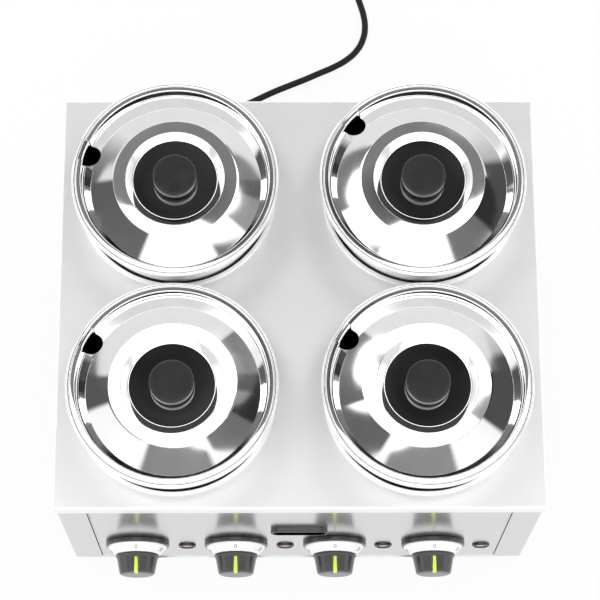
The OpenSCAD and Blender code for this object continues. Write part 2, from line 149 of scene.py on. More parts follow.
class Finish:
    """A material and the nodes that make it."""

    def __init__(self, name, tree=None):
        if tree is None:
            self.material = bpy.data.materials.new(name)
            self.material.use_nodes = True
            tree = self.material.node_tree
        self.tree = tree
        self.tree.nodes.clear()

    def node(self, kind, settings=None, sockets=None, output=0):
        """A node of one kind: its settings come first, then the values or links of its sockets."""
        made = self.tree.nodes.new(kind)
        for key, value in (settings or {}).items():
            if key == "stops":
                self.set_stops(made.color_ramp, value)
            else:
                setattr(made, key, value)
        for key, value in (sockets or {}).items():
            if isinstance(value, Value):
                self.tree.links.new(value.socket, made.inputs[key])
            elif isinstance(value, (tuple, list)) and made.inputs[key].type == "RGBA":
                made.inputs[key].default_value = (*value, 1.0)[:4]
            else:
                made.inputs[key].default_value = value
        return Value(self, made.outputs[output]) if made.outputs else made

    def set_stops(self, ramp, stops):
        """Stops of a ramp as pairs of place and grey or colour."""
        while len(ramp.elements) < len(stops):
            ramp.elements.new(1.0)
        for element, (place, shade) in zip(ramp.elements, stops):
            element.position = place
            element.color = (*shade, 1.0) if isinstance(shade, tuple) else (shade, shade, shade, 1.0)

    def coordinates(self, centre=(0, 0, 0), scale=(1, 1, 1)):
        """Object coordinates, seen from centre and scaled."""
        place = self.node("ShaderNodeTexCoord", output="Object")
        location = [-c * s for c, s in zip(centre, scale)]
        return self.node("ShaderNodeMapping", None, {"Vector": place, "Location": location, "Scale": scale})

    def noise(self, vector, scale, detail=2.0, roughness=0.5):
        sockets = {"Vector": vector, "Scale": scale, "Detail": detail, "Roughness": roughness}
        return self.node("ShaderNodeTexNoise", None, sockets, output=0)

    def ramp(self, value, stops):
        return self.node("ShaderNodeValToRGB", {"stops": stops}, {"Fac": value})

    def mixed(self, share, first, second):
        """A colour between two colours."""
        settings = {"data_type": "RGBA"}
        return self.node("ShaderNodeMix", settings, {"Factor": share, 6: first, 7: second}, output=2)

    def bump(self, height, strength, distance, normal=None):
        sockets = {"Height": height, "Strength": strength, "Distance": distance}
        if normal is not None:
            sockets["Normal"] = normal
        return self.node("ShaderNodeBump", None, sockets)

    def surface(self, **sockets):
        """A Principled surface; an underscore in a name stands for a space."""
        named = {key.replace("_", " "): value for key, value in sockets.items()}
        shader = self.node("ShaderNodeBsdfPrincipled", None, named)
        self.node("ShaderNodeOutputMaterial", None, {"Surface": shader})
        return self.material


# ---- Finishes ----
# Each maker takes a colour and a roughness, and adds grain, marks and haze at their real scale


def brushed_steel(name, colour, roughness, streak, depth):
    """Sheet steel brushed along X, with a little haze where it has been wiped."""
    finish = Finish(name)
    lines = finish.noise(finish.coordinates(scale=(0.012, 1.0, 1.0)), streak, 3.0, 0.65)
    haze = finish.noise(finish.coordinates(), 9.0, 3.0, 0.55)
    tone = (lines - 0.5) * 0.16 + (haze - 0.5) * 0.10
    dark = tuple(c * 0.86 for c in colour)
    base = finish.mixed((tone * 2.2 + 0.5).clamped(), dark, colour)
    return finish.surface(
        Base_Color=base,
        Metallic=1.0,
        Roughness=(roughness + tone * 0.5).clamped(),
        Normal=finish.bump(lines, 0.6, depth),
    )


def polished_steel(name, centre, colour, roughness, rings=2600.0, dents=0.35 * MM):
    """Spun and polished steel: faint rings round its axis, slight waves, wiped haze."""
    finish = Finish(name)
    own = finish.coordinates(centre)
    parts = finish.node("ShaderNodeSeparateXYZ", None, {"Vector": own})
    x, y = (Value(finish, parts.socket.node.outputs[i]) for i in (0, 1))
    radius = (x * x + y * y) ** 0.5
    scored = finish.node("ShaderNodeCombineXYZ", None, {"X": radius * rings, "Y": 0.0, "Z": 0.0})
    polish = finish.noise(scored, 1.0, 2.0, 0.6)
    waves = finish.noise(own, 22.0, 1.0, 0.4)
    haze = finish.noise(own, 60.0, 4.0, 0.6)
    specks = finish.ramp(finish.noise(own, 900.0, 1.0), [(0.0, 0.0), (0.76, 0.0), (0.80, 1.0)])
    soft = roughness + (polish - 0.5) * 0.05 + (haze - 0.5) * 0.05 + specks * 0.12
    waved = finish.bump(waves, 0.35, dents)
    return finish.surface(
        Base_Color=finish.mixed((haze * 1.6 - 0.3).clamped(), tuple(c * 0.93 for c in colour), colour),
        Metallic=1.0,
        Roughness=soft.clamped(),
        Normal=finish.bump(polish, 0.12, 0.004 * MM, waved),
    )


def plain_metal(name, colour, roughness, grain=400.0):
    """Cast, plated or mill-finished metal with a fine grain."""
    finish = Finish(name)
    own = finish.coordinates()
    fine = finish.noise(own, grain, 3.0)
    stain = finish.noise(own, 35.0, 3.0)
    base = finish.mixed((stain * 1.5 - 0.25).clamped(), tuple(c * 0.8 for c in colour), colour)
    return finish.surface(
        Base_Color=base,
        Metallic=1.0,
        Roughness=(roughness + (fine - 0.5) * 0.2 + (stain - 0.5) * 0.1).clamped(),
        Normal=finish.bump(fine, 0.2, 0.03 * MM),
    )


def moulded(name, colour, roughness, grain=1800.0, depth=0.02 * MM, coat=0.0, wear=0.25, shine=0.5):
    """Moulded plastic or rubber: fine spark grain, faint handling marks."""
    finish = Finish(name)
    own = finish.coordinates()
    fine = finish.noise(own, grain, 2.0)
    marks = finish.noise(own, 70.0, 4.0, 0.6)
    lighter = tuple(min(1.0, c * 1.25 + 0.004) for c in colour)
    base = finish.mixed((marks * 1.4 - 0.2).clamped(), colour, lighter)
    return finish.surface(
        Base_Color=base,
        Roughness=(roughness + (marks - 0.5) * wear + (fine - 0.5) * 0.1).clamped(),
        Normal=finish.bump(fine, 0.25, depth),
        Specular_IOR_Level=shine,
        Coat_Weight=coat,
        Coat_Roughness=0.12,
    )


def glowing_lens(name, colour):
    """Tinted lens of a pilot lamp that is off: clear coat over a frosted, ribbed inside."""
    finish = Finish(name)
    own = finish.coordinates()
    cloud = finish.noise(own, 260.0, 2.0)
    base = finish.mixed(cloud, tuple(c * 0.7 for c in colour), colour)
    return finish.surface(
        Base_Color=base,
        Roughness=0.25 + cloud * 0.15,
        Coat_Weight=1.0,
        Coat_Roughness=0.03,
        Normal=finish.bump(cloud, 0.2, 0.05 * MM),
    )


def woven(name, colour):
    """Webbing of a cable tie: ribs across the strap."""
    finish = Finish(name)
    own = finish.coordinates()
    parts = finish.node("ShaderNodeSeparateXYZ", None, {"Vector": own})
    along = sum((Value(finish, parts.socket.node.outputs[i]) for i in (0, 1, 2)), 0.0)
    ribs = finish.node("ShaderNodeMath", {"operation": "SINE"}, {0: along * 5200.0})
    fuzz = finish.noise(own, 900.0, 3.0)
    base = finish.mixed((ribs * 0.25 + fuzz * 0.5).clamped(), colour, tuple(c * 2.2 for c in colour))
    return finish.surface(Base_Color=base, Roughness=0.85, Normal=finish.bump(ribs + fuzz, 0.5, 0.08 * MM))


DECK_STEEL = brushed_steel("brushed_deck", (0.98, 0.98, 0.98), 0.42, 900.0, 0.006 * MM)
PANEL_STEEL = brushed_steel("brushed_panel", (0.66, 0.66, 0.66), 0.20, 800.0, 0.006 * MM)
BASE_STEEL = plain_metal("base_steel", (0.62, 0.62, 0.62), 0.42)
WELL_STEEL = plain_metal("well_steel", (0.68, 0.68, 0.67), 0.33)
HEATER_ALLOY = plain_metal("heater_alloy", (0.52, 0.51, 0.49), 0.5, 700.0)
PLATED_STEEL = plain_metal("fastener_steel", (0.74, 0.74, 0.72), 0.28)
THERMOSTAT_RESIN = moulded("thermostat_resin", (0.52, 0.38, 0.22), 0.45)
TERMINAL_RESIN = moulded("terminal_resin", (0.82, 0.79, 0.70), 0.4)
LID_KNOB_BLACK = moulded("lid_knob_black", (0.016, 0.016, 0.016), 0.36, coat=0.03, shine=0.35)
KNOB_BLACK = moulded("knob_black", (0.030, 0.030, 0.030), 0.26, coat=0.35)
BEZEL_BLACK = moulded("bezel_black", (0.012, 0.012, 0.012), 0.22, coat=0.5)
DIAL_WHITE = moulded("dial_silver", (0.80, 0.80, 0.80), 0.32, coat=0.2)
MARK_GREY = moulded("dial_mark_grey", (0.13, 0.13, 0.13), 0.5)
POINTER_LIME = moulded("pointer_lime", (0.66, 0.78, 0.06), 0.35, coat=0.2)
BADGE_BLACK = moulded("badge_black", (0.016, 0.016, 0.016), 0.2, coat=0.6)
BADGE_FACE = moulded("badge_face", (0.05, 0.05, 0.05), 0.3, coat=0.4)
LENS_RED = glowing_lens("lens_red", (0.52, 0.14, 0.11))
FOOT_RUBBER = moulded("foot_rubber", (0.022, 0.022, 0.022), 0.65, 900.0, 0.05 * MM)
CORD_RUBBER = moulded("cord_rubber", (0.006, 0.006, 0.006), 0.45, 700.0, 0.03 * MM, shine=0.22)
TIE_BLACK = woven("tie_black", (0.02, 0.02, 0.02))
PLUG_BLACK = moulded("plug_black", (0.016, 0.016, 0.016), 0.4, 1400.0)

# ---- Making meshes ----

HELD_FLAT = 0.6 * MM     # a narrow flat band beside a bend, which keeps the sheet next to it flat


def rounded(corners, steps=5):
    """A line through corners; a third value of a corner is the radius that rounds it."""
    line = []
    for i, corner in enumerate(corners):
        at = Vector(corner[:2])
        if len(corner) < 3:
            line.append(at)
            continue
        back = (Vector(corners[i - 1][:2]) - at).normalized()
        on = (Vector(corners[(i + 1) % len(corners)][:2]) - at).normalized()
        half = back.angle(on) / 2
        centre = at + (back + on).normalized() * (corner[2] / sin(half))
        start = at + back * (corner[2] / tan(half)) - centre
        sweep = start.angle_signed(at + on * (corner[2] / tan(half)) - centre)
        line += [centre + Matrix.Rotation(-sweep * k / steps, 2) @ start for k in range(steps + 1)]
    return line


def held(line, length=0.25 * MM):
    """Adds a point near each end of a straight run that meets a bend, so that its shading stays even."""
    done = [line[0]]
    for i in range(1, len(line)):
        start, end = line[i - 1], line[i]
        run = end - start
        if run.length > 3 * length:
            step = run.normalized() * length
            if i > 1 and run.angle(start - line[i - 2]) > radians(3):
                done.append(start + step)
            if i + 1 < len(line) and run.angle(line[i + 1] - end) > radians(3):
                done.append(end - step)
        done.append(end)
    return done


def arc(centre, radius, start, end, steps):
    """Points of an arc, from one angle to another in degrees."""
    angles = [radians(start + (end - start) * k / steps) for k in range(steps + 1)]
    return [Vector((centre[0] + radius * cos(a), centre[1] + radius * sin(a))) for a in angles]


def millimetres(points):
    """Corners in millimetres as corners in metres."""
    return [tuple(value * MM for value in point) for point in points]


def spun(line, turns=96, bm=None, matrix=Matrix()):
    """A line of radius and height turned round Z, as a mesh of its own or added to one."""
    new = bmesh.new()
    verts = [new.verts.new((point[0], 0, point[1])) for point in line]
    edges = [new.edges.new(pair) for pair in zip(verts, verts[1:])]
    profile = verts + edges
    bmesh.ops.spin(new, geom=profile, axis=UP, cent=(0, 0, 0), steps=turns, angle=2 * pi, use_merge=True)
    bmesh.ops.remove_doubles(new, verts=new.verts, dist=1e-6)
    bmesh.ops.recalc_face_normals(new, faces=new.faces)
    bmesh.ops.transform(new, matrix=matrix, verts=new.verts)
    if bm is None:
        return new
    add(bm, new)
    return bm


def add(bm, other):
    """Puts a finished mesh into another one."""
    carried = bpy.data.meshes.new("carried")
    other.to_mesh(carried)
    other.free()
    bm.from_mesh(carried)
    bpy.data.meshes.remove(carried)


def thickened(bm, thickness):
    """Gives a sheet its wall, inward from its face."""
    bmesh.ops.solidify(bm, geom=bm.faces[:], thickness=thickness)
    return bm


def piece(name, bm, body, finish, replaces=(), sharp=30):
    """A shaded object from a mesh; edges bent by more than sharp degrees stay crisp."""
    mesh = bpy.data.meshes.new(name)
    bm.to_mesh(mesh)
    bm.free()
    mesh.shade_smooth()
    mesh.set_sharp_from_angle(angle=radians(sharp))
    obj = bpy.data.objects.new(name, mesh)
    bpy.context.scene.collection.objects.link(obj)
    mesh.materials.append(finish)
    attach(obj, body)
    if replaces:
        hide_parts(*replaces)
    return obj


def repaint(node, finish):
    """A CAD node whose shape is right gets a finish."""
    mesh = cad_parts[node].data
    mesh.materials.clear()
    mesh.materials.append(finish)

# ---- Mains lead ----

LEAD_DIAMETER = 6.2 * MM
LEAD_ROUTE = millimetres([
    (-165, 222, 52), (-165, 232, 51.6), (-164.5, 242, 49.6), (-162.5, 251, 45.8), (-158.5, 259, 40.4),
    (-152, 266, 34), (-143, 271.5, 27.2), (-132, 275, 20.6), (-119.5, 276.5, 14.6), (-106, 276, 9.6),
    (-92, 274.5, 6), (-77, 273.5, 3.9), (-62, 275.5, 3.1), (-48, 281, 3.1), (-35, 287.5, 3.1),
    (-22, 294, 3.1), (-6, 301, 3.1), (8, 307, 3.1), (22, 313.5, 3.1), (36, 320, 3.1), (49, 328, 3.1),
    (59, 338, 3.1), (65, 350, 3.1), (67, 362, 3.1), (66, 374, 3.1), (63, 386, 3.1), (59, 398, 3.1),
    (55, 410, 3.1), (53, 422, 3.1), (52, 434, 3.5),
])
TAIL_ROUTE = millimetres([
    (-5, 486, 10.2), (-18, 486, 12.4), (-30, 486, 15.4), (-42, 486, 17.6), (-54, 486, 18.2),
])
COIL_RADIUS = 37 * MM
COIL_CENTRE = middle("cord_coil")
TIE_THICKNESS = 1.0 * MM
STEPS_PER_TURN = 16


def coil_points():
    """Three turns side by side on the table, then one and a quarter lying in the grooves on them."""
    low = TIE_THICKNESS + LEAD_DIAMETER / 2
    high = low + LEAD_DIAMETER * sqrt(3) / 2
    places = [(0.0, 1.0, low), (1.0, 0.0, low), (2.0, -1.0, low), (3.0, -0.5, high), (4.25, 0.5, high)]
    points = []
    for k in range(int(4.25 * STEPS_PER_TURN) + 1):
        turn = k / STEPS_PER_TURN
        leg = max(i for i in range(len(places) - 1) if places[i][0] <= turn)
        (start, side, z), (end, next_side, next_z) = places[leg], places[leg + 1]
        # Each turn keeps its place and steps over to the next one in its last third
        share = max(0.0, ((turn - start) / (end - start) - 0.67) / 0.33)
        share = share * share * (3 - 2 * share)
        radius = COIL_RADIUS + LEAD_DIAMETER * (side + (next_side - side) * share)
        angle = 2 * pi * turn
        x = COIL_CENTRE.x + radius * cos(angle)
        y = COIL_CENTRE.y + radius * sin(angle)
        points.append((x, y, z + (next_z - z) * share))
    return points


def mains_lead():
    """The whole lead as one smooth curve."""
    curve = bpy.data.curves.new("mains_lead", "CURVE")
    curve.dimensions = "3D"
    curve.bevel_depth = LEAD_DIAMETER / 2
    curve.bevel_resolution = 5
    curve.resolution_u = 6
    curve.use_fill_caps = True
    route = LEAD_ROUTE + coil_points() + TAIL_ROUTE
    spline = curve.splines.new("BEZIER")
    spline.bezier_points.add(len(route) - 1)
    for point, place in zip(spline.bezier_points, route):
        point.co = place
        point.handle_left_type = point.handle_right_type = "AUTO"
    lead = bpy.data.objects.new("mains_lead", curve)
    bpy.context.scene.collection.objects.link(lead)
    curve.materials.append(CORD_RUBBER)
    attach(lead, "housing")
    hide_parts("cord", "cord_coil")
    return lead


def strain_relief():
    """Tapered rubber sleeve with a flange on the back panel and ribs along its taper."""
    low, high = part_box("cord_gland")
    centre = middle("cord_gland")
    length = high.y - shell_high.y
    root, tip = 6.5 * MM, LEAD_DIAMETER / 2 + 0.6 * MM
    outline = [(0, low.y - shell_high.y), (8 * MM, low.y - shell_high.y), (8 * MM, -1.1 * MM)]
    outline += [(6.1 * MM, -1.1 * MM), (6.1 * MM, 0.1 * MM), (9 * MM, 0.1 * MM)]
    outline += arc((8.2 * MM, 2.2 * MM), 0.8 * MM, 0, 90, 4) + [(root + 0.6 * MM, 3.2 * MM)]
    ribs = 7
    for k in range(ribs):
        start = 4.5 * MM + (length - 7 * MM) * k / ribs
        pitch = (length - 7 * MM) / ribs
        radius = root + (tip - root) * (k + 0.5) / ribs
        outline += [(radius - 0.9 * MM, start), (radius - 0.9 * MM, start + pitch * 0.35)]
        outline += [(radius, start + pitch * 0.42), (radius, start + pitch * 0.93)]
    outline += [(tip - 0.2 * MM, length - 2 * MM), (tip, length - 1 * MM)]
    outline += [(tip - 0.3 * MM, length), (0, length)]
    place = Matrix.Translation((centre.x, shell_high.y, centre.z)) @ Matrix.Rotation(radians(-90), 4, "X")
    bm = spun([Vector(point) for point in outline], 48, matrix=place)
    return piece("strain_relief", bm, "housing", CORD_RUBBER, ["cord_gland"], 40)


def lead_tie():
    """A strap round one side of the coil."""
    low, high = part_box("cord_coil")
    wide = high.z - low.z + 0.2 * MM
    deep = 3 * LEAD_DIAMETER + 0.4 * MM
    t = TIE_THICKNESS
    corner = 2.2 * MM
    half = deep / 2 + t
    top = wide + 2 * t - 0.1 * MM
    corners = [(half, top, corner), (-half, top, corner), (-half, 0, corner), (half, 0, corner)]
    loop = rounded(corners, 6)
    bm = bmesh.new()
    strap = 9 * MM
    verts = [bm.verts.new((x, -strap / 2, z)) for x, z in loop]
    edges = [bm.edges.new(pair) for pair in zip(verts, verts[1:] + verts[:1])]
    made = bmesh.ops.extrude_edge_only(bm, edges=edges)
    moved = [item for item in made["geom"] if isinstance(item, bmesh.types.BMVert)]
    bmesh.ops.translate(bm, verts=moved, vec=(0, strap, 0))
    bmesh.ops.recalc_face_normals(bm, faces=bm.faces)
    thickened(bm, t * 0.9)
    angle = radians(225)
    place = Matrix.Translation(COIL_CENTRE.xy.to_3d()) @ Matrix.Rotation(angle, 4, "Z")
    bmesh.ops.transform(bm, matrix=place @ Matrix.Translation((COIL_RADIUS, 0, 0)), verts=bm.verts)
    return piece("lead_tie", bm, "housing", TIE_BLACK, ["cord_tie"], 40)


def mains_plug():
    """Round two-pin plug: grip ribs on its neck, a bevelled face and two metal pins."""
    low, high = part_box("plug")
    centre = middle("plug")
    radius = (high.z - low.z) / 2
    back = high.x
    pins = 19 * MM
    body_length = back - low.x - pins
    neck = LEAD_DIAMETER / 2 + 1.4 * MM
    outline = [(0, 0)] + rounded([(neck - 1 * MM, 0), (neck, 0, 0.8 * MM), (neck + 0.9 * MM, 8.6 * MM)], 3)
    for k in range(4):
        start = (10.5 + 2.6 * k) * MM
        r = (9.6 + 0.95 * k) * MM
        outline += [(r - 1.1 * MM, start), (r, start + 0.5 * MM)]
        outline += [(r, start + 1.7 * MM), (r - 1.0 * MM, start + 2.2 * MM)]
    outline += rounded([
        (12.6 * MM, 21.5 * MM), (13.6 * MM, 24 * MM, 3 * MM), (radius, 32.5 * MM, 3 * MM),
        (radius, body_length, 1.4 * MM), (radius - 6 * MM, body_length),
    ], 5) + [(0, body_length)]
    place = Matrix.Translation((back, centre.y, centre.z)) @ Matrix.Rotation(radians(-90), 4, "Y")
    bm = spun([Vector(point) for point in outline], 64, matrix=place)
    body = piece("mains_plug", bm, "housing", PLUG_BLACK, ["plug"], 40)
    pin = rounded([(0, 0), (2.4 * MM, 0), (2.4 * MM, pins, 1.2 * MM), (0, pins)], 5)
    bm = bmesh.new()
    for side in (-1, 1):
        root = place @ Matrix.Translation((0, side * 9.5 * MM, body_length))
        spun([Vector(point) for point in pin], 32, bm, root)
    contacts = piece("plug_pins", bm, "housing", PLATED_STEEL, sharp=40)
    return body, contacts


lead = mains_lead()
relief = strain_relief()
tie = lead_tie()
plug, plug_pins = mains_plug()

# ---- Body ----


def ring_of(bm, points, z):
    """A closed loop of edges through points of X and Y at one height."""
    verts = [bm.verts.new((x, y, z)) for x, y in points]
    return [bm.edges.new(pair) for pair in zip(verts, verts[1:] + verts[:1])]


def rectangle(width, depth, corner, steps=5):
    """Outline of a rectangle about the origin with rounded corners."""
    w, d = width / 2, depth / 2
    return rounded([(w, d, corner), (-w, d, corner), (-w, -d, corner), (w, -d, corner)], steps)


def folded_tray(bm, width, depth, lip, bend, corner, openings):
    """A sheet with its four edges folded down, flat between the folds and the openings.
    openings holds the loops of edges that bound its holes at z = 0."""
    levels = [(bend + HELD_FLAT, 0.0)]
    levels += [(bend * (1 - sin(a)), bend * (cos(a) - 1)) for a in (radians(15 * k) for k in range(7))]
    levels += [(0.0, -lip)]
    rings = []
    for inset, z in levels:
        outline = rectangle(width - 2 * inset, depth - 2 * inset, corner + bend - inset)
        rings.append(ring_of(bm, outline, z))
    for ring, beside in zip(rings, rings[1:]):
        bmesh.ops.bridge_loops(bm, edges=ring + beside)
    bmesh.ops.triangle_fill(bm, use_beauty=True, use_dissolve=False, edges=rings[0] + openings, normal=UP)
    return bm


def boundary_at(bm, centre, radius):
    """Boundary edges of a mesh that lie on a circle at z = 0."""
    return [
        edge for edge in bm.edges
        if edge.is_boundary and all(
            abs(hypot(v.co.x - centre[0], v.co.y - centre[1]) - radius) < 1e-5 and abs(v.co.z) < 1e-6
            for v in edge.verts
        )
    ]


def deck_plate():
    """Top sheet with four spun collars, and edges folded down all round."""
    deck_centre = (deck_low + deck_high) / 2
    collar = 81 * MM
    fillet = 2.4 * MM
    line = [(collar + fillet + HELD_FLAT, 0), (collar + fillet, 0)]
    line += arc((collar + fillet, fillet), fillet, 270, 180, 6)[1:]
    line += [(collar, COLLAR_HEIGHT - 0.3 * MM), (collar - 0.3 * MM, COLLAR_HEIGHT)]
    bm = bmesh.new()
    holes = []
    for place in PLACES:
        centre = middle("pot_" + place) - deck_centre
        spun([Vector(point) for point in line], 128, bm, Matrix.Translation((centre.x, centre.y, 0)))
        holes += boundary_at(bm, centre, collar + fillet + HELD_FLAT)
    size = deck_high - deck_low
    folded_tray(bm, size.x, size.y, DECK_LIP, 1.5 * MM, 0.8 * MM, holes)
    bmesh.ops.recalc_face_normals(bm, faces=bm.faces)
    thickened(bm, SHEET)
    bmesh.ops.translate(bm, verts=bm.verts, vec=(deck_centre.x, deck_centre.y, DECK_Z))
    return piece("deck_plate", bm, "housing", DECK_STEEL, ["deck"], 40)


SHELL_BEND = 1.6 * MM
SHELL_FLANGE = 12 * MM
FRONT_RETURN = 24 * MM


def shell_path(inset):
    """Plan of the shell, from one front return round the back to the other, moved inward."""
    w = (shell_high.x - shell_low.x) / 2
    end = w - FRONT_RETURN
    bend = max(SHELL_BEND - inset, 0.001 * MM)
    front, back = shell_low.y + inset, shell_high.y - inset
    side = w - inset
    return rounded([
        (-end, front), (-side, front, bend), (-side, back, bend), (side, back, bend), (side, front, bend),
        (end, front),
    ], 5)


def shell_body():
    """Sides, back and front returns folded from one sheet, with a flange under them."""
    bend = 1.2 * MM
    levels = [(0.0, shell_high.z), (0.0, shell_low.z + bend + HELD_FLAT)]
    angles = [radians(18 * k) for k in range(6)]
    levels += [(bend * (1 - cos(a)), shell_low.z + bend * (1 - sin(a))) for a in angles]
    levels += [(SHELL_FLANGE, shell_low.z)]
    bm = bmesh.new()
    rows = []
    for inset, z in levels:
        verts = [bm.verts.new((x, y, z)) for x, y in shell_path(inset)]
        rows.append([bm.edges.new(pair) for pair in zip(verts, verts[1:])])
    for row, below in zip(rows, rows[1:]):
        bmesh.ops.bridge_loops(bm, edges=row + below)
    bmesh.ops.remove_doubles(bm, verts=bm.verts, dist=0.01 * MM)
    bmesh.ops.recalc_face_normals(bm, faces=bm.faces)
    thickened(bm, SHEET)
    return piece("shell_body", bm, "housing", PANEL_STEEL, ["shell"], 40)


def front_panel():
    """Control panel between the returns, folded back on all sides, with its round holes."""
    size = panel_high - panel_low
    centre = (panel_low + panel_high) / 2
    bm = bmesh.new()
    holes = []
    for number in NUMBERS:
        for axis, radius in ((knob_axis(number), 5.2 * MM), (lamp_axis(number), 6.7 * MM)):
            x, y = axis.translation.x - centre.x, axis.translation.z - centre.z
            made = bmesh.ops.create_circle(
                bm, cap_ends=False, radius=radius, segments=32, matrix=Matrix.Translation((x, y, 0)))
            holes += list({edge for vert in made["verts"] for edge in vert.link_edges})
    folded_tray(bm, size.x, size.z, size.y, 1.0 * MM, 0.4 * MM, holes)
    bmesh.ops.recalc_face_normals(bm, faces=bm.faces)
    thickened(bm, SHEET)
    bmesh.ops.transform(bm, matrix=on_panel(centre.x, centre.z), verts=bm.verts)
    return piece("front_panel", bm, "housing", PANEL_STEEL, ["control_panel"], 40)


def blank_badge():
    """Long badge with round ends: a black frame round a plain lighter face."""
    low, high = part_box("badge")
    length, height, depth = high.x - low.x, high.z - low.z, high.y - low.y
    radius = height / 2
    half = length / 2 - radius

    def outline(inset):
        r = radius - inset
        return arc((half, 0), r, -90, 90, 16) + arc((-half, 0), r, 90, 270, 16)

    edge, step = 0.9 * MM, 1.6 * MM
    levels = [(0, 0), (0, depth - edge)]
    angles = [radians(22.5 * k) for k in range(1, 5)]
    levels += [(edge * (1 - cos(a)), depth - edge + edge * sin(a)) for a in angles]
    levels += [(step, depth), (step + 0.4 * MM, depth - 0.5 * MM)]
    place = on_panel((low.x + high.x) / 2, (low.z + high.z) / 2)
    bm = bmesh.new()
    rings = [ring_of(bm, outline(inset), z) for inset, z in levels]
    for ring, beside in zip(rings, rings[1:]):
        bmesh.ops.bridge_loops(bm, edges=ring + beside)
    bmesh.ops.edgeloop_fill(bm, edges=rings[0])
    bmesh.ops.edgeloop_fill(bm, edges=rings[-1])
    bmesh.ops.recalc_face_normals(bm, faces=bm.faces)
    bmesh.ops.transform(bm, matrix=place, verts=bm.verts)
    frame_part = piece("badge_frame", bm, "housing", BADGE_BLACK, ["badge"], 35)
    bm = bmesh.new()
    ring = ring_of(bm, outline(step + 0.45 * MM), depth - 0.5 * MM)
    bmesh.ops.edgeloop_fill(bm, edges=ring)
    made = bmesh.ops.extrude_face_region(bm, geom=bm.faces[:])
    moved = [item for item in made["geom"] if isinstance(item, bmesh.types.BMVert)]
    bmesh.ops.translate(bm, verts=moved, vec=(0, 0, 0.25 * MM))
    bmesh.ops.recalc_face_normals(bm, faces=bm.faces)
    bmesh.ops.transform(bm, matrix=place, verts=bm.verts)
    face_part = piece("badge_face", bm, "housing", BADGE_FACE, sharp=35)
    return frame_part, face_part


def rubber_feet():
    """Four feet, tapered, with a recess for the screw's head."""
    height = feet_high.z
    foot, top = 13 * MM, 15 * MM
    line = rounded([
        (2.2 * MM, 13 * MM), (5.5 * MM, 13 * MM), (5.5 * MM, 0.8 * MM, 0.3 * MM), (7 * MM, 0, 0.5 * MM),
        (foot, 0, 1.4 * MM), (top, height, 0.8 * MM), (2.2 * MM, height),
    ], 4)
    bm = bmesh.new()
    inset = feet_high.x - top
    front = feet_low.y + top
    back = feet_high.y - top
    for x in (-inset, inset):
        for y in (front, back):
            foot_mesh = spun([Vector(p) for p in line + line[:1]], 48)
            bmesh.ops.translate(foot_mesh, verts=foot_mesh.verts, vec=(x, y, 0))
            add(bm, foot_mesh)
    return piece("rubber_feet", bm, "housing", FOOT_RUBBER, ["feet"], 35)


deck_plate()
shell_body()
front_panel()
blank_badge()
rubber_feet()
repaint("base_plate", BASE_STEEL)
repaint("screws", PLATED_STEEL)
repaint("terminal_block", TERMINAL_RESIN)

# ---- Wells and pots ----

WELL_WALL = 0.8 * MM
POT_WALL = 0.64 * MM
LID_WALL = 0.72 * MM


def well(place):
    """Drawn tank that hangs in the deck's hole and holds the pot."""
    low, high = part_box("well_" + place)
    floor, top = low.z - DECK_Z, high.z - DECK_Z
    radius = (high.x - low.x) / 2
    wall = radius - 1.6 * MM
    corners = [(0, floor), (wall, floor, 10.4 * MM), (wall, top - 0.2 * MM, 1.0 * MM), (radius, top)]
    bm = thickened(spun(held(rounded(corners, 8))), WELL_WALL)
    bmesh.ops.transform(bm, matrix=at_pot(place), verts=bm.verts)
    return piece("water_well_" + place, bm, "housing", WELL_STEEL, ["well_" + place])


def soup_pot(place):
    """Drawn pot: round bottom corner, a flange, and a rolled edge."""
    low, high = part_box("pot_" + place)
    floor, top = low.z - DECK_Z, high.z - DECK_Z
    radius = (high.x - low.x) / 2
    bead = 1.3 * MM
    wall = radius - 5.8 * MM
    flange = top - 0.8 * MM
    corners = [(0, floor), (wall, floor, 9.4 * MM), (wall, flange, 1.2 * MM), (wall + 2.4 * MM, flange)]
    line = rounded(corners, 8) + arc((radius - bead, top - bead), bead, 112, -170, 14)
    bm = thickened(spun(held(line), 128), POT_WALL)
    bmesh.ops.transform(bm, matrix=at_pot(place), verts=bm.verts)
    body = "pot_body_" + place
    return piece("soup_pot_" + place, bm, body, POT_STEEL[place], ["pot_" + place], 50)


# ---- Lids ----

LID_RING = 51.3 * MM     # outer radius of the flat ring
LID_DISH = 41.3 * MM     # inner radius of the flat ring, where the dish starts
DISH_DEPTH = 3.7 * MM
LID_DROP = 11.6 * MM     # depth of the groove below the rim
GROOVE = 77.8 * MM       # outer radius of the groove
NOTCH_WIDTH = 18 * MM
NOTCH_REACH = 66 * MM
# In degrees: where each lid is turned to, and how steeply its ring rises inward
NOTCH_ANGLE = {"back_left": 162, "back_right": 138, "front_left": 151, "front_right": 148}
RING_SLOPE = {"back_left": 9.0, "back_right": 9.0, "front_left": 14.5, "front_right": 14.5}


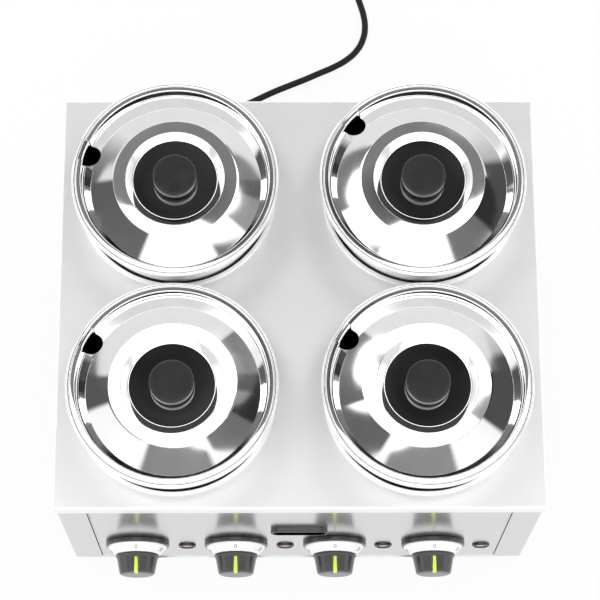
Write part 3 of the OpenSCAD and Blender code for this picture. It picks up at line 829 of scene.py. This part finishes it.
def lid_line(radius, top, slope):
    """Upper face of a lid, from its middle to its turned-down edge."""
    groove = top - LID_DROP
    crease = top - 3.1 * MM
    edge = crease + (LID_RING - LID_DISH) * tan(radians(slope))
    floor = edge - DISH_DEPTH
    dome_end = GROOVE - 1.6 * MM
    line = [Vector((LID_DISH * k / 10, floor - 0.3 * MM + 0.5 * MM * (k / 10) ** 3)) for k in range(7)]
    line += rounded([
        (LID_DISH * 0.7, floor - 0.1 * MM), (LID_DISH - 6.2 * MM, floor, 3.0 * MM),
        (LID_DISH - 0.1 * MM, edge, 0.8 * MM), (LID_RING, crease, 0.9 * MM),
        (LID_RING + 1 * MM, crease - 0.3 * MM),
    ], 6)[1:-1]
    dome_start, dome_foot = Vector((LID_RING, crease)), Vector((dome_end, groove))
    for k in range(1, 13):
        bulge = 0.06 * MM * sin(pi * k / 13)
        line.append(dome_start.lerp(dome_foot, k / 13) + Vector((0, bulge)))
    line += rounded([
        (dome_end - 1 * MM, groove + 0.4 * MM), (dome_end, groove, 1.2 * MM),
        (GROOVE - 0.3 * MM, groove, 0.5 * MM), (GROOVE + 0.2 * MM, top, 0.95 * MM),
        (GROOVE + 4.0 * MM, top - 0.5 * MM, 0.9 * MM), (GROOVE + 5.0 * MM, top - 1.2 * MM, 0.6 * MM),
        (radius, top - 1.5 * MM, 1.1 * MM), (radius, top - 3.2 * MM),
    ], 6)[1:]
    return held(line)


def notch_cutter(place):
    """The ladle notch's shape: a slot with a round inner end, open at the rim."""
    half = NOTCH_WIDTH / 2
    outline = arc((NOTCH_REACH + half, 0), half, 90, 270, 24) + [Vector((0.1, -half)), Vector((0.1, half))]
    bm = bmesh.new()
    ring = ring_of(bm, outline, -0.02)
    bmesh.ops.edgeloop_fill(bm, edges=ring)
    made = bmesh.ops.extrude_face_region(bm, geom=bm.faces[:])
    moved = [item for item in made["geom"] if isinstance(item, bmesh.types.BMVert)]
    bmesh.ops.translate(bm, verts=moved, vec=(0, 0, 0.1))
    bmesh.ops.recalc_face_normals(bm, faces=bm.faces)
    turn = Matrix.Rotation(radians(NOTCH_ANGLE[place]), 4, "Z")
    bmesh.ops.transform(bm, matrix=at_pot(place) @ turn, verts=bm.verts)
    mesh = bpy.data.meshes.new("notch_cutter")
    bm.to_mesh(mesh)
    bm.free()
    return bpy.data.objects.new("notch_cutter", mesh)


def pot_lid(place):
    """Pressed lid: seat on the rim, groove, dome, inner ring and dish, with a ladle notch cut out."""
    low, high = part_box("lid_" + place)
    top = high.z - DECK_Z
    radius = (high.y - low.y) / 2
    bm = thickened(spun(lid_line(radius, top, RING_SLOPE[place]), 160), LID_WALL)
    bmesh.ops.transform(bm, matrix=at_pot(place), verts=bm.verts)
    body = "lid_body_" + place
    lid = piece("pot_lid_" + place, bm, body, LID_STEEL[place], ["lid_" + place], 50)
    cutter = notch_cutter(place)
    bpy.context.scene.collection.objects.link(cutter)
    cut = lid.modifiers.new("notch", "BOOLEAN")
    cut.operation = "DIFFERENCE"
    cut.solver = "EXACT"
    cut.object = cutter
    settle(lid, 50)
    bpy.data.objects.remove(cutter)
    return lid


def settle(obj, sharp):
    """Applies an object's modifiers to its mesh."""
    bpy.context.view_layer.update()
    ready = bpy.data.meshes.new_from_object(obj.evaluated_get(bpy.context.evaluated_depsgraph_get()))
    obj.modifiers.clear()
    obj.data = ready
    ready.shade_smooth()
    ready.set_sharp_from_angle(angle=radians(sharp))


def lid_knob(place):
    """Black moulded knob: waisted foot, mushroom head with a slightly crowned top."""
    low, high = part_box("lid_knob_" + place)
    base, top = low.z - DECK_Z, high.z - DECK_Z
    radius = (high.x - low.x) / 2
    neck = 9 * MM
    line = [Vector((0, base))] + rounded([
        (neck + 2 * MM, base), (neck, base + 2.4 * MM, 2 * MM),
        (neck + 0.6 * MM, base + 5.6 * MM, 2.5 * MM), (radius, base + 7.2 * MM, 1.2 * MM),
        (radius, top - 0.3 * MM, 1.5 * MM), (radius - 3 * MM, top - 0.1 * MM, 1.0 * MM), (0, top),
    ], 6)
    bm = spun(held(line), 96)
    bmesh.ops.transform(bm, matrix=at_pot(place), verts=bm.verts)
    body = "lid_body_" + place
    return piece("lid_grip_" + place, bm, body, LID_KNOB_BLACK, ["lid_knob_" + place], 35)


def own_steel(name, colour, roughness):
    """One polished steel for each pot, with its rings round that pot's axis."""
    return {
        place: polished_steel("%s_%s" % (name, place), middle("pot_" + place), colour, roughness)
        for place in PLACES
    }


POT_STEEL = own_steel("pot_steel", (0.88, 0.88, 0.88), 0.10)
LID_STEEL = own_steel("lid_steel", (0.94, 0.94, 0.94), 0.045)

for place in PLACES:
    well(place)
    soup_pot(place)
    pot_lid(place)
    lid_knob(place)
    repaint("heater_" + place, HEATER_ALLOY)
    repaint("lid_screw_" + place, PLATED_STEEL)

# ---- Controls ----

BEZEL_TOP = PANEL_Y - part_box("bezel_rings")[0].y
DIAL_TOP = PANEL_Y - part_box("dials")[0].y
BEZEL_RADIUS = (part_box("bezel_rings")[1].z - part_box("bezel_rings")[0].z) / 2
DIAL_RADIUS = BEZEL_RADIUS - 2.2 * MM
DIAL_HOLE = 9.5 * MM
KNOB_RADIUS = (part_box("knob_1")[1].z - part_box("knob_1")[0].z) / 2
KNOB_BASE = PANEL_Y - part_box("knob_1")[1].y
KNOB_TOP = PANEL_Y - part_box("knob_1")[0].y
KNOB_FRONT = 0.8 * KNOB_RADIUS
DIAL_TIP = KNOB_RADIUS + 0.4 * MM


def bezel_ring(number):
    """Black ring on the panel: rounded rim, and a step down to the scale's cone."""
    line = rounded([
        (DIAL_HOLE, 0), (BEZEL_RADIUS - 0.7 * MM, 0), (BEZEL_RADIUS, 0.8 * MM, 0.5 * MM),
        (BEZEL_RADIUS, BEZEL_TOP, 1.5 * MM), (DIAL_RADIUS + 0.3 * MM, BEZEL_TOP, 0.3 * MM),
        (DIAL_RADIUS + 0.1 * MM, BEZEL_TOP - 0.6 * MM), (DIAL_HOLE, BEZEL_TOP - 0.6 * MM),
    ], 5)
    bm = spun(held(line + line[:1]), 96, matrix=knob_axis(number))
    return piece("bezel_ring_%d" % number, bm, "housing", BEZEL_BLACK, ["bezel_rings"], 35)


# The cone's face, from its outer edge to the knob, as radius and distance from the panel
CONE = [Vector(point) for point in (
    (DIAL_RADIUS, BEZEL_TOP + 0.5 * MM), (DIAL_RADIUS - 0.4 * MM, BEZEL_TOP + 0.9 * MM),
    (DIAL_TIP + 0.2 * MM, DIAL_TOP - 0.2 * MM),
)]


def scale_cone(number):
    """Light cone between the ring and the knob, which carries the scale."""
    line = [Vector((DIAL_HOLE, BEZEL_TOP - 0.5 * MM)), Vector((DIAL_RADIUS, BEZEL_TOP - 0.5 * MM))] + CONE
    line += [Vector((DIAL_TIP - 0.1 * MM, DIAL_TOP)), Vector((DIAL_HOLE, DIAL_TOP))]
    bm = spun(held(line + line[:1]), 96, matrix=knob_axis(number))
    return piece("scale_cone_%d" % number, bm, "housing", DIAL_WHITE, ["dials"], 25)


def scale_marks(number):
    """Figures printed on the cone, their heads outwards: 0 at the top, and the scale clockwise."""
    middle_of_cone = (CONE[1] + CONE[2]) / 2
    outwards = (CONE[1] - CONE[2]).normalized()
    raised = Vector((-outwards.y, outwards.x))
    whole = bmesh.new()
    for figure, degrees in (("0", 90), ("30", 22), ("50", -45), ("70", -112), ("90", 180)):
        text = bpy.data.curves.new("figure", "FONT")
        text.body = figure
        text.size = 5.2 * MM
        text.align_x = "CENTER"
        text.align_y = "CENTER"
        text.extrude = 0.06 * MM
        holder = bpy.data.objects.new("figure", text)
        bm = bmesh.new()
        bm.from_mesh(holder.to_mesh())
        holder.to_mesh_clear()
        bpy.data.objects.remove(holder)
        for vert in bm.verts:
            on = middle_of_cone + outwards * vert.co.y + raised * vert.co.z
            turn = radians(degrees) - vert.co.x / on.x
            vert.co = (on.x * cos(turn), on.x * sin(turn), on.y)
        bmesh.ops.transform(bm, matrix=knob_axis(number), verts=bm.verts)
        add(whole, bm)
    return piece("scale_marks_%d" % number, whole, "housing", MARK_GREY, sharp=30)


def knob_side():
    """Side of a knob, from its flared back edge to its front, as radius and distance."""
    return rounded([
        (KNOB_RADIUS - 0.3 * MM, KNOB_BASE), (KNOB_RADIUS, KNOB_BASE + 0.3 * MM, 0.2 * MM),
        (KNOB_RADIUS, KNOB_BASE + 1.2 * MM, 0.4 * MM),
        (KNOB_RADIUS - 1.1 * MM, KNOB_BASE + 2.6 * MM, 1.2 * MM),
        (KNOB_FRONT, KNOB_TOP - 0.6 * MM, 2.4 * MM), (KNOB_FRONT - 5.0 * MM, KNOB_TOP - 0.05 * MM),
    ], 6)


def knob_grip(number):
    """Tapered black knob with a flared skirt and a slightly crowned front."""
    line = [Vector((0, KNOB_BASE))] + knob_side()
    line += [Vector((KNOB_FRONT * 0.4, KNOB_TOP)), Vector((0, KNOB_TOP))]
    bm = spun(held(line), 96, matrix=knob_axis(number))
    body = "knob_body_%d" % number
    return piece("knob_grip_%d" % number, bm, body, KNOB_BLACK, ["knob_%d" % number], 35)


def pointer_bar(number):
    """Lime bar let into the top of the knob and over its front edge, with rounded ends."""
    half, proud, sunk = 1.6 * MM, 0.35 * MM, 0.5 * MM
    side = knob_side()
    start = Vector((KNOB_RADIUS - 1.35 * MM, KNOB_BASE + 4.0 * MM))
    line = [start] + [p for p in side if p.y > KNOB_BASE + 8 * MM]
    bm = bmesh.new()
    rows = []
    section = [(-half, -sunk), (-half, proud * 0.5), (-half * 0.6, proud)]
    section += [(-x, y) for x, y in reversed(section)]
    for i, at in enumerate(line):
        way = (line[min(i + 1, len(line) - 1)] - line[max(i - 1, 0)]).normalized()
        out = Vector((way.y, -way.x))
        out = out if out.x + out.y > 0 else -out
        narrow = 0.72 if i in (0, len(line) - 1) else 1.0
        verts = [bm.verts.new((x * narrow, at.x + out.x * h, at.y + out.y * h)) for x, h in section]
        rows.append([bm.edges.new(pair) for pair in zip(verts, verts[1:] + verts[:1])])
    for row, beside in zip(rows, rows[1:]):
        bmesh.ops.bridge_loops(bm, edges=row + beside)
    for row in (rows[0], rows[-1]):
        bmesh.ops.edgeloop_fill(bm, edges=row)
    bmesh.ops.recalc_face_normals(bm, faces=bm.faces)
    bmesh.ops.transform(bm, matrix=knob_axis(number), verts=bm.verts)
    body, replaced = "knob_body_%d" % number, ["pointer_%d" % number]
    return piece("pointer_bar_%d" % number, bm, body, POINTER_LIME, replaced, 40)


def pilot_lamp(number):
    """Black bezel with a rounded rim, and a domed tinted lens with fine steps inside its rim."""
    low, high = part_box("lamp_bezels")
    radius = (high.z - low.z) / 2
    proud = PANEL_Y - low.y
    lens_proud = PANEL_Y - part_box("lamp_lenses")[0].y - 1.6 * MM
    deep = -12 * MM
    lens = 5.2 * MM
    line = rounded([
        (6.5 * MM, deep), (6.5 * MM, -0.2 * MM), (6.5 * MM, 0), (radius, 0), (radius, 0.7 * MM, 0.3 * MM),
        (radius - 0.7 * MM, proud, 0.9 * MM), (lens + 0.5 * MM, proud, 0.3 * MM),
        (lens + 0.25 * MM, proud - 1 * MM), (lens + 0.25 * MM, deep),
    ], 4)
    bm = spun(held(line + line[:1]), 64, matrix=lamp_axis(number))
    bezel = piece("lamp_bezel_%d" % number, bm, "housing", BEZEL_BLACK, ["lamp_bezels"], 35)
    crown = [Vector((0, deep)), Vector((lens, deep)), Vector((lens, lens_proud - 1.0 * MM))]
    crown += arc((lens - 0.8 * MM, lens_proud - 1.0 * MM), 0.8 * MM, 20, 80, 4)
    crown += [Vector((lens * 0.5, lens_proud - 0.05 * MM)), Vector((0, lens_proud))]
    bm = spun(crown, 48, matrix=lamp_axis(number))
    glass = piece("lamp_lens_%d" % number, bm, "housing", LENS_RED, ["lamp_lenses"], 35)
    return bezel, glass


for number in NUMBERS:
    bezel_ring(number)
    scale_cone(number)
    scale_marks(number)
    knob_grip(number)
    pointer_bar(number)
    pilot_lamp(number)
    repaint("thermostat_%d" % number, THERMOSTAT_RESIN)
    repaint("spindle_%d" % number, PLATED_STEEL)

# ---- Stage ----

DARK_AT = 71.5           # height of the dark ceiling panel's centre over the back edge, in degrees
# What hangs round the dark panel, in three rings from the inside out: degrees round it from the
# left by way of the front, and strength
PANELS = [
    [(0, 0.15), (14, 0.15), (16, 1.3), (146, 1.3), (149, 0.35), (174, 0.32), (178, 0.12), (190, 0.14),
     (193, 0.24), (228, 0.22), (230, 0.83), (310, 0.83), (312, 0.20), (345, 0.20), (360, 0.15)],
    [(0, 0.12), (58, 0.14), (61, 1.35), (117, 1.35), (120, 0.20), (152, 0.16), (155, 0.03), (192, 0.03),
     (195, 0.80), (230, 0.85), (348, 0.83), (351, 0.12), (360, 0.12)],
    [(0, 0.10), (12, 0.10), (15, 1.05), (64, 1.15), (67, 0.27), (113, 0.30), (116, 1.15), (150, 1.05),
     (153, 0.08), (203, 0.08), (208, 0.50), (230, 0.83), (310, 0.83), (330, 0.30), (350, 0.10), (360, 0.10)],
]
PANEL_EDGES = [35.6, 40.2, 52.0]     # outer radius of each ring, in degrees
WALLS = 1.5
FRONT_WALL = 0.83
WHITE_RING = 2.5
GREY_CEILING = 0.22


def staged(name, bm, material):
    """A stage object, which isn't part of the model."""
    mesh = bpy.data.meshes.new(name)
    bm.to_mesh(mesh)
    bm.free()
    obj = bpy.data.objects.new(name, mesh)
    bpy.context.scene.collection.objects.link(obj)
    mesh.materials.append(material)
    return obj


def floor():
    """Pale table top that glows nearly white and takes a faint shadow."""
    finish = Finish("white_table")
    glow = finish.node("ShaderNodeEmission", None, {"Color": (1.0, 1.0, 1.0), "Strength": 1.0})
    matt = finish.node("ShaderNodeBsdfDiffuse", None, {"Color": (0.9, 0.9, 0.9)})
    both = finish.node("ShaderNodeMixShader", None, {0: 0.10, 1: glow, 2: matt})
    finish.node("ShaderNodeOutputMaterial", None, {"Surface": both})
    bm = bmesh.new()
    bmesh.ops.create_grid(bm, x_segments=1, y_segments=1, size=8)
    return staged("table_top", bm, finish.material)


def toward(height):
    """Direction over the middle of the deck's back edge, at a height in degrees."""
    return (0.0, cos(radians(height)), sin(radians(height)))


def sky():
    """White studio whose ceiling is dark over the table's back, with light and dark panels round that."""
    world = bpy.data.worlds.new("studio")
    bpy.context.scene.world = world
    world.use_nodes = True
    finish = Finish("studio", world.node_tree)
    way = finish.node("ShaderNodeTexCoord", output="Generated")

    def along(axis):
        """Cosine of the angle between the direction and an axis."""
        settings = {"operation": "DOT_PRODUCT"}
        return finish.node("ShaderNodeVectorMath", settings, {0: way, 1: axis}, output="Value")

    def inside(axis, degrees, soft=0.004):
        """1 within some degrees of an axis, and 0 outside."""
        return ((along(axis) - cos(radians(degrees))) / soft + 0.5).clamped()

    across = along((1.0, 0.0, 0.0))
    down = along((0.0, sin(radians(DARK_AT)), -cos(radians(DARK_AT))))
    turn = down.maths("ARCTAN2", down, across) / (2 * pi) + 0.5
    low_band = inside((0.0, 0.0, 1.0), 63.0, 0.02) - inside((0.0, 0.0, 1.0), 49.5, 0.02)
    light = WALLS - (WALLS - FRONT_WALL) * low_band * inside((0.0, -1.0, 0.0), 88.0, 0.2)
    for stops, edge in reversed(list(zip(PANELS, PANEL_EDGES))):
        panel = finish.ramp(turn, [(angle / 360, level) for angle, level in stops])
        light = light + (panel - light) * inside(toward(DARK_AT), edge, 0.004 if edge < 50 else 0.12)
    light = light + (WHITE_RING - light) * inside(toward(DARK_AT), 33.3)
    # The grey part of the ceiling is an ellipse, a little further back than the dark panel
    wide = across / sin(radians(23.3))
    high = (down - sin(radians(4.4))) / sin(radians(19.1))
    grey = ((1.0 - (wide * wide + high * high)) / 0.04 + 0.5).clamped()
    light = light + (GREY_CEILING - light) * grey
    cloud = finish.noise(way, 7.0, 2.0, 0.5)
    light = light + (cloud * 0.12 - 0.035 - light) * inside(toward(DARK_AT), 14.0, 0.02)
    back = finish.node("ShaderNodeBackground", None, {"Color": light, "Strength": 1.0})
    finish.node("ShaderNodeOutputWorld", None, {"Surface": back})


floor()
sky()
bpy.context.scene.view_settings.view_transform = "Standard"
